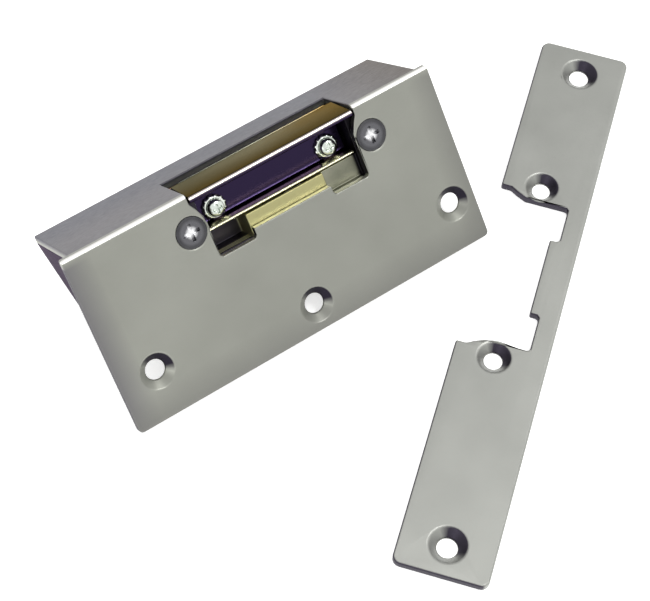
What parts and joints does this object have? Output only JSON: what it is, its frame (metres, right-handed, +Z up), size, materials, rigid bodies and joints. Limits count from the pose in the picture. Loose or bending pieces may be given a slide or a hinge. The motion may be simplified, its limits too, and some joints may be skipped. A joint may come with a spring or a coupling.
{
  "type": "electric door strike",
  "caption": "Surface electric door strike: sprung keeper in an angle faceplate, coil-released pawl in a rear housing, with a loose flat faceplate.",
  "frame": {"origin": "centre of the whole object's box in plan, at the surface it lies on", "axes": "+X along the strike's long side and the object's longest extent, +Z up"},
  "size_m": [0.163, 0.1272, 0.0352],
  "materials": {
    "satin_plate": "satin brushed nickel",
    "loose_plate": "satin grain",
    "gold_zinc": "yellow zinc passivated",
    "bright_steel": "bright zinc plated",
    "die_cast": "as-cast zinc alloy, plated",
    "housing_grey": "dark grey passivated sheet",
    "copper": "enamelled copper wire",
    "soft_iron": "dull plated",
    "black_plastic": "moulded",
    "nylon": "moulded",
    "spring_steel": "drawn wire",
    "brass": "turned"
  },
  "bodies": {
    "strike": {"angle_faceplate": "satin_plate", "armature_pin": "bright_steel", "armature_spring": "spring_steel", "coil_bobbin": "nylon", "coil_winding": "copper", "core_screw": "bright_steel", "faceplate_screw_left": "bright_steel", "faceplate_screw_right": "bright_steel", "housing_screw_left": "bright_steel", "housing_screw_right": "bright_steel", "keeper_pivot_pin": "bright_steel", "keeper_spring": "spring_steel", "magnet_core": "soft_iron", "magnet_yoke": "soft_iron", "pawl_pin": "bright_steel", "pawl_spring": "spring_steel", "pin_clip_left": "spring_steel", "pin_clip_right": "spring_steel", "rear_housing": "housing_grey", "strike_frame": "die_cast", "terminal_block": "black_plastic", "terminal_clamp_1": "brass", "terminal_clamp_2": "brass", "terminal_screw_1": "brass", "terminal_screw_2": "brass", "wire_grommet": "black_plastic"},
    "keeper_body": {"keeper": "gold_zinc", "keeper_screw_left": "bright_steel", "keeper_screw_right": "bright_steel", "keeper_washer_left": "bright_steel", "keeper_washer_right": "bright_steel"},
    "pawl_body": {"locking_pawl": "bright_steel"},
    "armature_body": {"armature": "soft_iron"},
    "loose_plate_body": {"loose_faceplate": "loose_plate"}
  },
  "joints": [
    {"name": "keeper_swing", "type": "hinge", "parent": "strike", "child": "keeper_body", "pos_m": [-0.02495, 0.04998, 0.0237], "axis": [-1, 0, 0], "range_deg": [0, 40], "stiffness_Nm_per_rad": 0.01, "springref_deg": -20.05},
    {"name": "pawl_turn", "type": "hinge", "parent": "strike", "child": "pawl_body", "pos_m": [-0.02155, 0.04763, 0.0111], "axis": [1, 0, 0], "range_deg": [0, 10], "deforming": ["pawl_spring"]},
    {"name": "armature_tilt", "type": "hinge", "parent": "strike", "child": "armature_body", "pos_m": [-0.02735, 0.05153, 0.01759], "axis": [0, 0.6837, 0.7298], "range_deg": [0, 8], "deforming": ["armature_spring"]},
    {"name": "loose_plate_lift", "type": "slide", "parent": "strike", "child": "loose_plate_body", "axis": [0, 0, 1], "range_m": [0, 0.05]}
  ],
  "couplings": [
    {"joint": "pawl_turn", "follows": "keeper_swing", "ratio": 0.25},
    {"joint": "armature_tilt", "follows": "keeper_swing", "ratio": 0.2}
  ]
}
